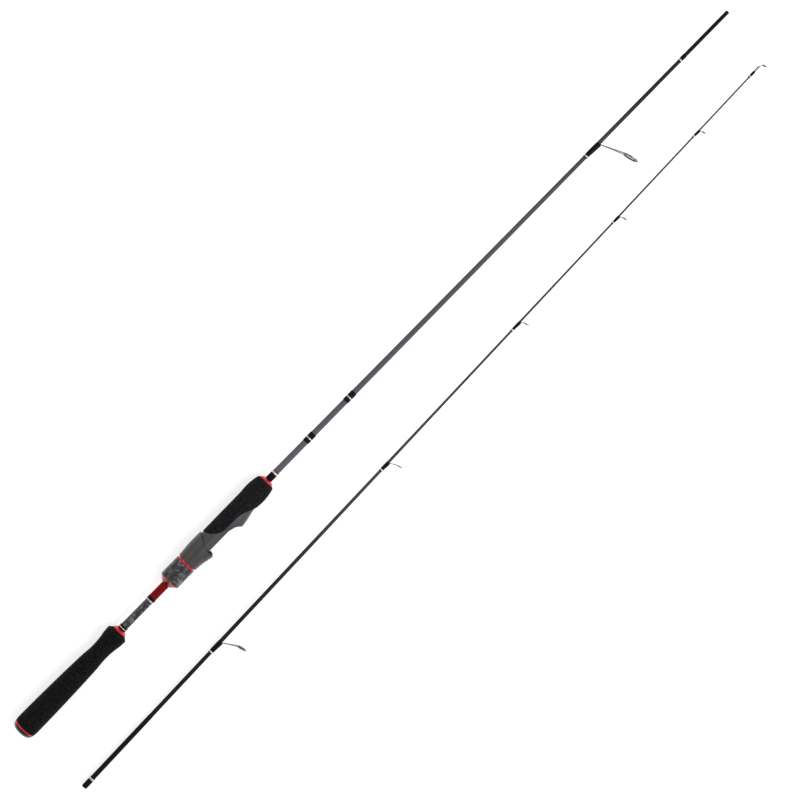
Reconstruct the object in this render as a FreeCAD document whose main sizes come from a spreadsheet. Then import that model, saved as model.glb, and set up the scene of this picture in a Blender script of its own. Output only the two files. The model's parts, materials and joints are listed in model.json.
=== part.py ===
import FreeCAD, Part
import math
import os
import re
import Sketcher

# A two-piece spinning rod, taken apart, its two sections lying side by side.
# Each section is drawn along +X from its own rear end, with the axis of the
# rod on the X axis, the reel and the guides towards -Y, and +Z up.
# A section's placement then lays it on the table.

V = FreeCAD.Vector
doc = FreeCAD.newDocument("spinning_rod")

# ---------------------------------------------------------------- dimensions
# name, millimetres or degrees, meaning.  Stations named _at, _start and _end
# run along the rod from the section's rear end; everything else is a size.
DIMENSIONS = [
    ("cap_face_radius", 7.6, "flat of the butt cap's end"),
    ("cap_end", 5.5, "front of the domed cap"),
    ("cap_radius", 12.75, "cap at its front"),
    ("cap_dome", 6.2, "radius of the dome's shoulder"),
    ("cap_ring_end", 7.0, "front of the coloured ring"),
    ("cap_ring_radius", 13.05, "coloured ring"),
    ("plug_end", 26.0, "front of the cap's plug inside the blank"),
    ("rear_grip_radius", 13.45, "rear grip at its fullest"),
    ("rear_grip_full_at", 13.0, "where the rear grip is fullest"),
    ("waist_start", 108.0, "where the straight taper ends"),
    ("waist_radius", 11.1, "grip where the waist starts"),
    ("flare_start", 140.0, "where the waist meets the flare"),
    ("flare_radius", 11.95, "grip where the flare starts"),
    ("waist_curve", 92.0, "radius of the hollow waist"),
    ("taper_curve", 2400.0, "radius of the long belly of the grip"),
    ("rear_grip_lip_at", 148.6, "front edge of the flare"),
    ("rear_grip_lip_radius", 12.5, "front edge of the flare"),
    ("rear_grip_end", 152.2, "front face of the rear grip"),
    ("grip_nose_radius", 7.9, "front face of either grip"),
    ("check_step", 0.8, "straight rim of a winding check"),
    ("check_length", 2.8, "winding check"),
    ("check_radius", 8.1, "rim of a winding check"),
    ("check_mouth_radius", 5.4, "front edge of a winding check"),
    ("collar_end", 160.2, "front of the wrap before the rear grip"),
    ("collar_radius", 4.9, "black collars of the handle"),
    ("sleeve_start", 139.0, "rear end of the woven handle sleeve"),
    ("sleeve_end", 236.0, "front end of the woven handle sleeve"),
    ("sleeve_radius", 4.4, "woven handle sleeve"),
    ("front_collar_start", 197.8, "collar behind the coloured tail"),
    ("front_collar_end", 203.6, "collar behind the coloured tail"),
    ("tail_end", 230.6, "front of the coloured tail wrap"),
    ("tail_radius", 4.68, "coloured tail wrap over its turns"),
    ("tail_groove", 0.16, "depth between two turns of the tail wrap"),
    ("tail_turn", 1.5, "spacing of the tail wrap's turns"),
    ("glue_gap", 0.02, "bond line between glued pieces"),
    # the blank of the butt section
    ("butt_start", 12.0, "rear end of the blank inside the grip"),
    ("handle_blank_radius", 3.85, "blank, parallel through the handle"),
    ("taper_start", 300.0, "where the blank starts to taper"),
    ("second_taper_at", 880.0, "where the taper slackens"),
    ("second_taper_radius", 2.33, "blank there"),
    ("shoulder_at", 1018.0, "end of the taper, under the ferrule wrap"),
    ("shoulder_radius", 2.12, "blank there"),
    ("spigot_start", 1026.0, "rear of the male ferrule"),
    ("butt_length", 1090.0, "whole butt section"),
    ("spigot_radius", 2.2, "male ferrule"),
    ("spigot_chamfer", 0.5, "bevel at the male ferrule's end"),
    ("bore_radius", 3.15, "bore of the blank in the handle"),
    ("second_bore_radius", 1.75, "bore at the second taper"),
    ("spigot_bore_radius", 1.4, "bore inside the male ferrule"),
    ("spigot_bore_end", 1082.0, "front of the bore"),
    # reel seat
    ("barrel_start", 231.0, "rear end of the threaded barrel"),
    ("barrel_root_radius", 7.95, "thread root"),
    ("barrel_crest_radius", 8.5, "thread crest"),
    ("thread_pitch", 2.0, "reel seat thread"),
    ("thread_start", 232.6, "first turn of the thread"),
    ("thread_length", 29.0, "threaded length"),
    ("thread_foot", 0.8, "half width of a ridge at its foot"),
    ("thread_flat", 0.26, "half width of a ridge at its crest"),
    ("thread_clearance", 0.09, "gap between the two threads"),
    ("nut_thread_foot", 0.85, "half width of the nut's ridge, sunk in its wall"),
    ("nut_thread_flat", 0.3, "half width of the nut's ridge at its crest"),
    ("body_start", 263.5, "rear face of the seat's round body"),
    ("body_radius", 11.25, "seat body"),
    ("body_core_radius", 8.5, "seat core under the fore grip"),
    ("body_end", 352.0, "front end of the seat"),
    ("seat_bore_radius", 6.0, "bore of the seat"),
    ("bed_depth", 8.5, "axis to the bed that the reel foot lies on"),
    ("bed_line", 0.3, "width of the cross lines that mark off the free bed"),
    ("bed_line_depth", 0.15, "depth of those lines"),
    ("bed_start", 283.5, "rear end of the free bed"),
    ("bed_end", 312.0, "front end of the free bed"),
    ("keyway_width", 3.0, "keyway along the barrel"),
    ("keyway_floor", 7.1, "axis to the floor of the keyway"),
    ("key_gap", 0.12, "gap around the hood's key"),
    # swept edge between the seat and the fore grip, seen from the side
    ("swoop_start", 293.0, "edge at the back of the rod"),
    ("swoop_low_at", 309.5, "where the edge turns along the rod"),
    ("swoop_low", 4.75, "depth of the edge there"),
    ("swoop_run_end", 327.0, "end of the run along the rod"),
    ("swoop_foot_at", 341.0, "middle of the drop under the grip"),
    ("swoop_foot", 7.9, "depth there"),
    ("swoop_end", 351.9, "where the edge leaves the grip"),
    ("swoop_back_curve", 24.0, "radius of the rear sweep"),
    ("swoop_drop_curve", 34.0, "radius of the drop"),
    ("swoop_tail_curve", 120.0, "radius of the end of the drop"),
    ("swoop_reach", 16.0, "how far the cutter reaches past the grip"),
    # fixed hood, part of the seat
    ("fixed_mouth_at", 312.6, "where the bed starts to rise to the fixed hood"),
    ("fixed_throat_at", 318.6, "end of the rounded foot of that rise"),
    ("fixed_throat_depth", 10.1, "axis to the rise there"),
    ("fixed_throat_curve", 12.05, "radius of the rounded foot"),
    ("fixed_lip_at", 325.8, "lip of the fixed hood"),
    ("fixed_lip_depth", 15.4, "axis to the lip"),
    ("fixed_lip_shift", 4.19, "how far the hood's circle is off the axis"),
    ("fixed_root_depth", 2.0, "axis to the hood's root, under the fore grip"),
    ("fixed_mid_at", 338.5, "middle of the hood's slope"),
    ("fixed_mid_depth", 13.3, "axis to the hood there"),
    ("fixed_mid_shift", 2.13, "shift there"),
    ("pocket_mouth_radius", 7.5, "round roof of the fixed pocket at its mouth"),
    ("pocket_mouth_shift", 5.8, "how far the roof's circle is off the axis there"),
    ("pocket_radius", 9.9, "roof of the pocket under the lip"),
    ("pocket_shift", 3.95, "shift there"),
    ("pocket_end", 337.0, "bottom of the fixed pocket"),
    ("pocket_end_radius", 9.9, "roof at the bottom of the pocket"),
    ("pocket_end_shift", 2.1, "shift there"),
    ("liner_thickness", 0.45, "hood liners"),
    # moving hood
    ("hood_start", 257.2, "rear edge of the hood's shell"),
    ("hood_rear_radius", 12.15, "hood at its rear edge"),
    ("hood_swell_at", 264.5, "where the hood starts to swell"),
    ("hood_swell_radius", 12.65, "hood there"),
    ("hood_full_at", 273.0, "end of the swell"),
    ("hood_full_radius", 13.25, "hood there"),
    ("hood_crest_at", 282.0, "widest section"),
    ("hood_crest_radius", 13.4, "hood there"),
    ("hood_front_at", 292.0, "section ahead of the front edge"),
    ("hood_front_radius", 13.1, "hood there"),
    ("lip_rear_at", 262.0, "where the lip starts to rise"),
    ("lip_rear_radius", 10.4, "lip there"),
    ("lip_rear_shift", 2.0, "how far the lip's circle is off the axis"),
    ("lip_rise_at", 270.0, "middle of the lip's rise"),
    ("lip_rise_radius", 10.9, "lip there"),
    ("lip_rise_shift", 2.65, "shift there"),
    ("lip_at", 279.0, "the lip itself"),
    ("lip_radius", 11.2, "lip"),
    ("lip_shift", 4.2, "shift of the lip"),
    ("lip_front_shift", 4.7, "shift ahead of the front edge"),
    ("hood_web_end", 261.0, "front of the hood's rear web"),
    ("hood_bore_radius", 11.36, "running bore over the seat's body"),
    ("hood_pocket_radius", 11.0, "round roof of the moving pocket"),
    ("hood_pocket_shift", 2.6, "how far the roof's circle is off the axis"),
    ("hood_pocket_start", 266.0, "bottom of the moving pocket"),
    ("hood_pocket_rear_radius", 10.5, "roof at the bottom of the pocket"),
    ("hood_pocket_rear_shift", 0.9, "shift there"),
    ("hood_pocket_full_at", 276.0, "where the roof is full"),
    ("hood_edge_low", 280.3, "front edge at the lip"),
    ("hood_edge_middle", 281.6, "front edge at mid height"),
    ("hood_edge_top", 290.2, "front edge at the back of the rod"),
    ("hood_edge_middle_depth", 2.0, "depth of that mid point"),
    ("liner_lead", 1.6, "how far the moving liner stands out of the hood"),
    ("spigot_tube_start", 250.2, "rear end of the hood's tail tube"),
    ("spigot_tube_radius", 10.1, "tail tube of the hood"),
    ("spigot_tube_bore", 8.58, "running bore over the thread"),
    ("snap_start", 252.0, "snap ring"),
    ("snap_width", 1.5, "snap ring"),
    ("snap_inner_radius", 9.5, "snap ring"),
    ("snap_outer_radius", 10.75, "snap ring"),
    ("snap_gap", 0.08, "running gap around the snap ring"),
    # lock nut
    ("nut_tail_at", 224.3, "rear end of the nut's cone"),
    ("nut_tail_radius", 5.3, "hole in the nut's cone"),
    ("nut_tail_rim", 6.0, "outer edge of that hole"),
    ("nut_bevel_at", 227.3, "where the cone meets the coloured bevel"),
    ("nut_bevel_radius", 9.7, "cone there"),
    ("nut_start", 229.3, "rear edge of the nut's woven sleeve"),
    ("nut_end", 254.4, "front edge of the nut's woven sleeve"),
    ("nut_radius", 12.05, "nut over its woven sleeve"),
    ("nut_core_radius", 11.4, "nut under its woven sleeve"),
    ("nut_hollow_radius", 9.9, "hollow at the nut's rear"),
    ("nut_thread_start", 240.5, "rear of the nut's thread"),
    ("nut_thread_end", 249.0, "front of the nut's thread"),
    ("nut_front_bore", 10.2, "bore around the hood's tail tube"),
    ("nut_ring_end", 256.6, "front of the coloured ring"),
    ("nut_ring_radius", 11.0, "coloured ring, set below the sleeve"),
    # fore grip
    ("fore_grip_radius", 12.25, "fore grip"),
    ("fore_grip_full_to", 352.0, "end of the parallel part"),
    ("fore_grip_curve", 62.0, "radius of the front belly"),
    ("fore_grip_shoulder_at", 376.0, "start of the front chamfer"),
    ("fore_grip_shoulder", 10.9, "radius there"),
    ("fore_grip_end", 378.8, "front face of the fore grip"),
    # thread wraps of the butt section
    ("wrap_thickness", 0.42, "thread and varnish on the blank"),
    ("wrap_toe", 0.9, "rounded end of a wrap"),
    ("band_thickness", 0.1, "metallic band over a wrap"),
    ("fore_wrap_end", 394.0, "front of the wrap before the fore grip"),
    ("lower_trim_start", 439.0, "lower trim wrap"),
    ("lower_trim_end", 451.6, "lower trim wrap"),
    ("upper_trim_start", 500.4, "upper trim wrap"),
    ("upper_trim_end", 514.2, "upper trim wrap"),
    ("ferrule_wrap_start", 1014.6, "wrap behind the male ferrule"),
    # tip section
    ("socket_radius", 2.24, "female ferrule, inside"),
    ("socket_depth", 64.0, "female ferrule, inside"),
    ("tip_rear_radius", 2.88, "female ferrule, outside"),
    ("tip_step_at", 106.0, "end of the thickened ferrule"),
    ("tip_step_radius", 2.66, "ferrule there"),
    ("tip_after_step_radius", 2.46, "blank after the step"),
    ("tip_second_at", 350.0, "second station of the taper"),
    ("tip_second_radius", 2.08, "second station of the taper"),
    ("tip_third_at", 560.0, "third station of the taper"),
    ("tip_third_radius", 1.45, "third station of the taper"),
    ("tip_fourth_at", 760.0, "fourth station of the taper"),
    ("tip_fourth_radius", 1.14, "fourth station of the taper"),
    ("tip_end", 1064.0, "front end of the tip blank"),
    ("tip_end_radius", 0.92, "front end of the tip blank"),
    ("socket_wrap_start", 0.4, "wrap around the female ferrule"),
    ("socket_wrap_end", 14.8, "wrap around the female ferrule"),
    # guides: ring_at, ring_drop (axis to ring centre), ring_radius, wrap_start,
    # wrap_end, wire (leg radius), for each guide from the handle to the tip
    ("ring_lean", 13.0, "how far each ring leans towards the tip"),
    ("stripper_ring_at", 903.7, "ring"),
    ("stripper_ring_drop", 34.9, "ring"),
    ("stripper_ring_radius", 10.4, "ring"),
    ("stripper_wrap_start", 869.2, "wrap"),
    ("stripper_wrap_end", 890.8, "wrap"),
    ("stripper_wire", 0.6, "legs"),
    ("first_ring_at", 226.3, "ring"),
    ("first_ring_drop", 21.6, "ring"),
    ("first_ring_radius", 6.5, "ring"),
    ("first_wrap_start", 199.4, "wrap"),
    ("first_wrap_end", 216.0, "wrap"),
    ("first_wire", 0.5, "legs"),
    ("second_ring_at", 486.9, "ring"),
    ("second_ring_drop", 11.9, "ring"),
    ("second_ring_radius", 3.85, "ring"),
    ("second_wrap_start", 469.2, "wrap"),
    ("second_wrap_end", 482.2, "wrap"),
    ("second_wire", 0.38, "legs"),
    ("third_ring_at", 693.4, "ring"),
    ("third_ring_drop", 6.7, "ring"),
    ("third_ring_radius", 3.5, "ring"),
    ("third_wrap_start", 676.6, "wrap"),
    ("third_wrap_end", 690.4, "wrap"),
    ("third_wire", 0.35, "legs"),
    ("fourth_ring_at", 849.5, "ring"),
    ("fourth_ring_drop", 6.3, "ring"),
    ("fourth_ring_radius", 3.25, "ring"),
    ("fourth_wrap_start", 835.9, "wrap"),
    ("fourth_wrap_end", 847.4, "wrap"),
    ("fourth_wire", 0.33, "legs"),
    ("fifth_ring_at", 976.3, "ring"),
    ("fifth_ring_drop", 5.2, "ring"),
    ("fifth_ring_radius", 2.7, "ring"),
    ("fifth_wrap_start", 964.0, "wrap"),
    ("fifth_wrap_end", 974.6, "wrap"),
    ("fifth_wire", 0.3, "legs"),
    ("tip_top_ring_at", 1073.8, "ring"),
    ("tip_top_ring_drop", 3.8, "ring"),
    ("tip_top_ring_radius", 2.9, "ring"),
    ("tip_top_wire", 0.33, "frame"),
    ("tip_top_tube_start", 1056.5, "tube"),
    ("tip_top_tube_end", 1069.5, "tube"),
    ("tip_top_tube_wall", 0.28, "tube"),
    ("tip_top_wrap_start", 1052.8, "wrap"),
    ("tip_top_wrap_end", 1062.0, "wrap"),
    # how the two sections lie
    ("butt_axis_height", 13.45, "axis of the butt section above the table"),
    ("tip_axis_height", 6.5, "axis of the tip section above the table"),
    ("tip_rear_at", 3.8, "rear of the tip section, along the butt section"),
    ("tip_rear_drop", 90.7, "rear of the tip section, beside the butt section"),
    ("tip_yaw", 1.343, "angle between the two sections"),
]

dims = doc.addObject("Spreadsheet::Sheet", "dims")
for row, (alias, value, meaning) in enumerate(DIMENSIONS, 1):
    dims.set(f"A{row}", meaning)
    dims.set(f"B{row}", str(value))
    dims.setAlias(f"B{row}", alias)
doc.recompute()


# ------------------------------------------------------------------- helpers
def bound(text):
    """An expression on the sheet's names, as another object has to write it."""
    return re.sub(r"[a-z]\w*", lambda word: "dims." + word.group(0), str(text))


def size(text):
    """The present value of such an expression."""
    value = dims.evalExpression(bound(text))
    return float(getattr(value, "Value", value))


def origin_plane(body, role):
    """One of a body's own three origin planes."""
    return next(item for item in body.Origin.OriginFeatures if item.Role == role)


def sketch_on(body, name, role):
    """A new sketch of a body, on one of the body's own origin planes."""
    sketch = body.newObject("Sketcher::SketchObject", name)
    sketch.AttachmentSupport = [(origin_plane(body, role), "")]
    sketch.MapMode = "FlatFace"
    return sketch


def pin_vertex(sketch, edge, end, place):
    """Tie one vertex of a sketch to the sheet, or to an axis where it is zero."""
    for kind, axis, text in (("DistanceX", -2, place[0]), ("DistanceY", -1, place[1])):
        value = size(text)
        if abs(value) < 1e-9:
            sketch.addConstraint(Sketcher.Constraint("PointOnObject", edge, end, axis))
            continue
        index = sketch.addConstraint(Sketcher.Constraint(kind, -1, 1, edge, end, value))
        sketch.setExpression(f"Constraints[{index}]", bound(text))


def closed_outline(sketch, points):
    """Draw a closed outline.  A point is (x, y) or (x, y, curve): with a curve, an
    arc of that radius runs to the next point, bulging left if it is negative."""
    places = [V(size(point[0]), size(point[1]), 0) for point in points]
    ends = []
    for i, point in enumerate(points):
        start, stop = places[i], places[(i + 1) % len(points)]
        if len(point) == 2:
            sketch.addGeometry(Part.LineSegment(start, stop))
            ends.append((1, 2))
            continue
        curve = size(point[2])
        chord = stop - start
        left = V(-chord.y, chord.x, 0).normalize()
        rise = abs(curve) - math.sqrt(curve * curve - chord.Length ** 2 / 4)
        top = (start + stop) * 0.5 - left * math.copysign(rise, curve)
        edge = sketch.addGeometry(Part.Arc(start, top, stop))
        forward = (sketch.getPoint(edge, 1) - start).Length < 1e-4
        ends.append((1, 2) if forward else (2, 1))
    for i, point in enumerate(points):
        following = (i + 1) % len(points)
        sketch.addConstraint(
            Sketcher.Constraint("Coincident", i, ends[i][1], following, ends[following][0]))
        pin_vertex(sketch, i, ends[i][0], point)
        if len(point) == 3:
            index = sketch.addConstraint(Sketcher.Constraint("Radius", i, abs(size(point[2]))))
            sketch.setExpression(f"Constraints[{index}]", f"abs({bound(point[2])})")


def turned(label, points):
    """A body turned about the rod's axis from an outline of (station, radius)."""
    body = doc.addObject("PartDesign::Body", label)
    sketch = sketch_on(body, label + "_outline", "XY_Plane")
    closed_outline(sketch, points)
    turn = body.newObject("PartDesign::Revolution", label + "_turned")
    turn.Profile = sketch
    turn.ReferenceAxis = (sketch, ["H_Axis"])
    turn.Angle = 360
    return body


def tube(label, start, end, inner, outer):
    """A plain turned sleeve."""
    return turned(label, [(start, inner), (start, outer), (end, outer), (end, inner)])


def rod(label, start, end, radius):
    """A plain turned bar, used for bores."""
    return turned(label, [(start, "0"), (start, radius), (end, radius), (end, "0")])


def slab(label, points, reach):
    """A side-view outline padded the same way to both sides of the rod."""
    body = doc.addObject("PartDesign::Body", label)
    sketch = sketch_on(body, label + "_outline", "XY_Plane")
    closed_outline(sketch, points)
    pad = body.newObject("PartDesign::Pad", label + "_pad")
    pad.Profile = sketch
    pad.Midplane = True
    pad.setExpression("Length", bound(f"2 * {reach}"))
    return body


def lofted(label, sections, ruled=False):
    """A loft through circles (station, radius, shift), each shifted towards -Y."""
    body = doc.addObject("PartDesign::Body", label)
    sketches = []
    for number, (station, radius, shift) in enumerate(sections, 1):
        sketch = sketch_on(body, f"{label}_section_{number}", "YZ_Plane")
        sketch.setExpression("AttachmentOffset.Base.z", bound(station))
        centre = V(-size(shift), 0, 0)
        sketch.addGeometry(Part.Circle(centre, V(0, 0, 1), size(radius)))
        pin_vertex(sketch, 0, 3, (f"-({shift})", "0"))
        index = sketch.addConstraint(Sketcher.Constraint("Radius", 0, size(radius)))
        sketch.setExpression(f"Constraints[{index}]", bound(radius))
        sketches.append(sketch)
    loft = body.newObject("PartDesign::AdditiveLoft", label + "_loft")
    loft.Profile = sketches[0]
    loft.Sections = sketches[1:]
    loft.Ruled = ruled
    return body


def joined(label, pieces, refine=True):
    """Fuse several solids into one."""
    fuse = doc.addObject("Part::MultiFuse", label)
    fuse.Shapes = pieces
    fuse.Refine = refine
    return fuse


def without(label, base, tools):
    """Cut tools out of a base, one after another."""
    for number, tool in enumerate(tools, 1):
        last = number == len(tools)
        cut = doc.addObject("Part::Cut", label if last else f"{label}_cut_{number}")
        cut.Base = base
        cut.Tool = tool
        cut.Refine = False
        base = cut
    return base


def shared(label, first, second):
    """Keep what two solids share."""
    common = doc.addObject("Part::Common", label)
    common.Base = first
    common.Tool = second
    return common


def grouped(label, pieces):
    """Several separate solids in one node."""
    group = doc.addObject("Part::Compound", label)
    group.Links = pieces
    return group


def box(label, low, high):
    """A box between two corners given as expressions."""
    block = doc.addObject("Part::Box", label)
    for side, axis, a, b in zip(("Length", "Width", "Height"), "xyz", low, high):
        block.setExpression(side, bound(f"({b}) - ({a})"))
        block.setExpression(f"Placement.Base.{axis}", bound(a))
    return block


def solid_from(label, shape):
    """A piece that only Part's own functions can make."""
    feature = doc.addObject("Part::Feature", label)
    feature.Shape = shape
    return feature


def butt_skin(station):
    """Radius of the butt blank at a station of its long taper, as an expression."""
    slope = "(handle_blank_radius - second_taper_radius) / (second_taper_at - taper_start)"
    return f"handle_blank_radius - ({station} - taper_start) * {slope}"


def run_skin(station, near, far):
    """Radius of the tip blank between two of its named stations."""
    slope = f"({near[1]} - {far[1]}) / ({far[0]} - {near[0]})"
    return f"{near[1]} - ({station} - {near[0]}) * {slope}"


TIP_STATIONS = [
    ("0", "tip_rear_radius"),
    ("tip_step_at", "tip_step_radius"),
    ("tip_step_at + 0.4", "tip_after_step_radius"),
    ("tip_second_at", "tip_second_radius"),
    ("tip_third_at", "tip_third_radius"),
    ("tip_fourth_at", "tip_fourth_radius"),
    ("tip_end", "tip_end_radius"),
]


def tip_skin(station):
    """Radius of the tip blank at a station, as an expression."""
    for near, far in zip(TIP_STATIONS, TIP_STATIONS[1:]):
        if size(station) <= size(far[0]):
            return run_skin(station, near, far)


def wrap(label, start, end, skin, thickness="wrap_thickness"):
    """Thread wound on the blank under varnish, with a rounded toe at each end."""
    rear, front = f"{start} + wrap_toe", f"{end} - wrap_toe"
    toe = f"0.3 * {thickness}"
    return turned(label, [
        (start, f"{skin(start)} + glue_gap"),
        (start, f"{skin(start)} + {toe}"),
        (rear, f"{skin(rear)} + {thickness}"),
        (front, f"{skin(front)} + {thickness}"),
        (end, f"{skin(end)} + {toe}"),
        (end, f"{skin(end)} + glue_gap"),
    ])


def band(label, start, width, skin, thickness="wrap_thickness"):
    """A metallic band wound over a wrap."""
    end = f"{start} + {width}"
    return turned(label, [
        (start, f"{skin(start)} + {thickness}"),
        (start, f"{skin(start)} + {thickness} + band_thickness"),
        (end, f"{skin(end)} + {thickness} + band_thickness"),
        (end, f"{skin(end)} + {thickness}"),
    ])


butt_pieces, tip_pieces = [], []

# ------------------------------------------------------- rear of the handle
butt_pieces.append(turned("butt_cap", [
    ("0", "0"), ("0", "cap_face_radius", "-cap_dome"), ("cap_end", "cap_radius"),
    ("cap_end", "bore_radius - glue_gap"), ("plug_end", "bore_radius - glue_gap"),
    ("plug_end", "0")]))
butt_pieces.append(turned("butt_cap_ring", [
    ("cap_end", "bore_radius + 0.3"), ("cap_end", "cap_ring_radius - 0.15"),
    ("cap_end + 0.2", "cap_ring_radius"), ("cap_ring_end - 0.2", "cap_ring_radius"),
    ("cap_ring_end", "cap_ring_radius - 0.15"), ("cap_ring_end", "bore_radius + 0.3")]))
butt_pieces.append(turned("rear_grip", [
    ("cap_ring_end", "handle_blank_radius + glue_gap"),
    ("cap_ring_end", "rear_grip_radius - 0.45", "-40"),
    ("rear_grip_full_at", "rear_grip_radius", "-taper_curve"),
    ("waist_start", "waist_radius", "waist_curve"),
    ("flare_start", "flare_radius"),
    ("rear_grip_lip_at - 1.4", "rear_grip_lip_radius", "-1.6"),
    ("rear_grip_lip_at + 0.4", "rear_grip_lip_radius - 0.9"),
    ("rear_grip_end", "grip_nose_radius"),
    ("rear_grip_end", "sleeve_radius + glue_gap"),
    ("sleeve_start - glue_gap", "sleeve_radius + glue_gap"),
    ("sleeve_start - glue_gap", "handle_blank_radius + glue_gap")]))


def winding_check(label, start, bore):
    """Coloured dished ring that finishes the end of a grip."""
    return turned(label, [
        (start, bore), (start, "check_radius"), (f"{start} + check_step", "check_radius", "-6"),
        (f"{start} + check_length", "check_mouth_radius"), (f"{start} + check_length", bore)])


butt_pieces.append(winding_check("rear_grip_check", "rear_grip_end", "sleeve_radius + glue_gap"))
butt_pieces.append(tube(
    "handle_sleeve", "sleeve_start", "sleeve_end",
    "handle_blank_radius + glue_gap", "sleeve_radius"))


def collar(label, start, end):
    """Black collar on the handle sleeve, rounded at both ends."""
    return turned(label, [
        (start, "sleeve_radius + glue_gap"), (start, "collar_radius - 0.3"),
        (f"{start} + 0.6", "collar_radius"), (f"{end} - 0.6", "collar_radius"),
        (end, "collar_radius - 0.3"), (end, "sleeve_radius + glue_gap")])


butt_pieces.append(collar("rear_collar", "rear_grip_end + check_length", "collar_end"))
butt_pieces.append(collar("front_collar", "front_collar_start", "front_collar_end"))

# the coloured tail: wound turns, cut as a row of fine grooves
tail = tube("seat_tail_wrap", "front_collar_end", "tail_end",
            "sleeve_radius + glue_gap", "tail_radius")
groove_sketch = sketch_on(tail, "tail_groove_outline", "XY_Plane")
closed_outline(groove_sketch, [
    ("front_collar_end + 0.5", "tail_radius + 0.1"),
    ("front_collar_end + 0.9", "tail_radius - tail_groove"),
    ("front_collar_end + 1.3", "tail_radius + 0.1")])
tail_groove = tail.newObject("PartDesign::Groove", "tail_turn_groove")
tail_groove.Profile = groove_sketch
tail_groove.ReferenceAxis = (groove_sketch, ["H_Axis"])
tail_groove.Angle = 360
doc.recompute()
turns = tail.newObject("PartDesign::LinearPattern", "tail_turns")
turns.Originals = [tail_groove]
turns.Direction = (groove_sketch, ["H_Axis"])
tail_gaps = int(size("(tail_end - front_collar_end) / tail_turn")) - 1
turns.setExpression("Length", bound(f"{tail_gaps} * tail_turn"))
turns.Occurrences = tail_gaps + 1
tail.Tip = turns
butt_pieces.append(tail)

# --------------------------------------------------------------- butt blank
butt_pieces.append(turned("butt_blank", [
    ("butt_start", "bore_radius"), ("butt_start", "handle_blank_radius"),
    ("taper_start", "handle_blank_radius"), ("second_taper_at", "second_taper_radius"),
    ("shoulder_at", "shoulder_radius"), ("spigot_start - 1", "shoulder_radius"),
    ("spigot_start", "spigot_radius"), ("butt_length - spigot_chamfer", "spigot_radius"),
    ("butt_length", "spigot_radius - spigot_chamfer"), ("butt_length", "0"),
    ("spigot_bore_end", "0"), ("spigot_bore_end", "spigot_bore_radius"),
    ("spigot_start", "spigot_bore_radius"), ("second_taper_at", "second_bore_radius"),
    ("taper_start", "bore_radius")]))

# ---------------------------------------------------------------- reel seat
# round core with the barrel, the full round body, and the swept outline that
# leaves only the reel side of that body showing ahead of the fore grip's edge
seat_core = turned("seat_core", [
    ("barrel_start", "seat_bore_radius"), ("barrel_start", "barrel_root_radius - 0.5"),
    ("barrel_start + 0.5", "barrel_root_radius"), ("body_start", "barrel_root_radius"),
    ("body_start", "body_core_radius"), ("body_end", "body_core_radius"),
    ("body_end", "seat_bore_radius")])
seat_round = tube("seat_round", "body_start", "body_end", "seat_bore_radius", "body_radius")

SWOOP = [
    ("swoop_start", "swoop_reach"),
    ("swoop_start", "11.9", "swoop_back_curve"),
    ("swoop_low_at", "-swoop_low"),
    ("swoop_run_end", "-swoop_low", "-swoop_drop_curve"),
    ("swoop_foot_at", "-swoop_foot", "swoop_tail_curve"),
    ("swoop_end", "-(fore_grip_radius + 0.1)"),
    ("swoop_end", "-swoop_reach"),
]
reel_side = slab("reel_side", [("body_start - 30", "-swoop_reach"),
                               ("body_start - 30", "swoop_reach")] + SWOOP, "swoop_reach")
hood_swell = lofted("fixed_hood_swell", [
    ("fixed_mouth_at - 2", "body_radius - 0.3", "0"),
    ("fixed_lip_at", "fixed_lip_depth - fixed_lip_shift", "fixed_lip_shift"),
    ("fixed_mid_at", "fixed_mid_depth - fixed_mid_shift", "fixed_mid_shift"),
    ("body_end", "body_radius - 0.05", "0")])
hood_window = box("fixed_hood_window",
                  ("fixed_mouth_at - 1", "-swoop_reach", "-swoop_reach"),
                  ("body_end", "-fixed_root_depth", "swoop_reach"))
fixed_hood = shared("fixed_hood", hood_swell, hood_window)
fixed_hood_shown = shared("fixed_hood_shown", fixed_hood, reel_side)
seat_shell = shared("seat_shell", seat_round, reel_side)

thread_axis = FreeCAD.Rotation(V(0, 1, 0), 90)


def thread_ridge(start, length, near, far):
    """A right-hand helical ridge about the rod's axis.  near and far are its inner
    and outer radius, each with half the ridge's width there."""
    helix = Part.makeHelix(size("thread_pitch"), length, max(near[0], far[0]) - 0.5)
    profile = Part.Wire(Part.makePolygon(
        [V(near[0], 0, -near[1]), V(far[0], 0, -far[1]), V(far[0], 0, far[1]),
         V(near[0], 0, near[1]), V(near[0], 0, -near[1])]))
    sweep = Part.BRepOffsetAPI.MakePipeShell(Part.Wire(helix))
    sweep.setFrenetMode(True)
    sweep.add(profile)
    sweep.build()
    sweep.makeSolid()
    ridge = sweep.shape()
    ridge.Placement = FreeCAD.Placement(V(start, 0, 0), thread_axis)
    return ridge


barrel_thread = solid_from("barrel_thread", thread_ridge(
    size("thread_start"), size("thread_length"),
    (size("barrel_root_radius - 0.2"), size("thread_foot")),
    (size("barrel_crest_radius"), size("thread_flat"))))
barrel_limit = tube("barrel_limit", "barrel_start", "body_start + 1", "seat_bore_radius + 0.5",
                    "barrel_crest_radius")
trimmed_thread = shared("trimmed_thread", barrel_thread, barrel_limit)

seat_blank = joined("seat_blank", [seat_core, seat_shell, fixed_hood_shown])

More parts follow.
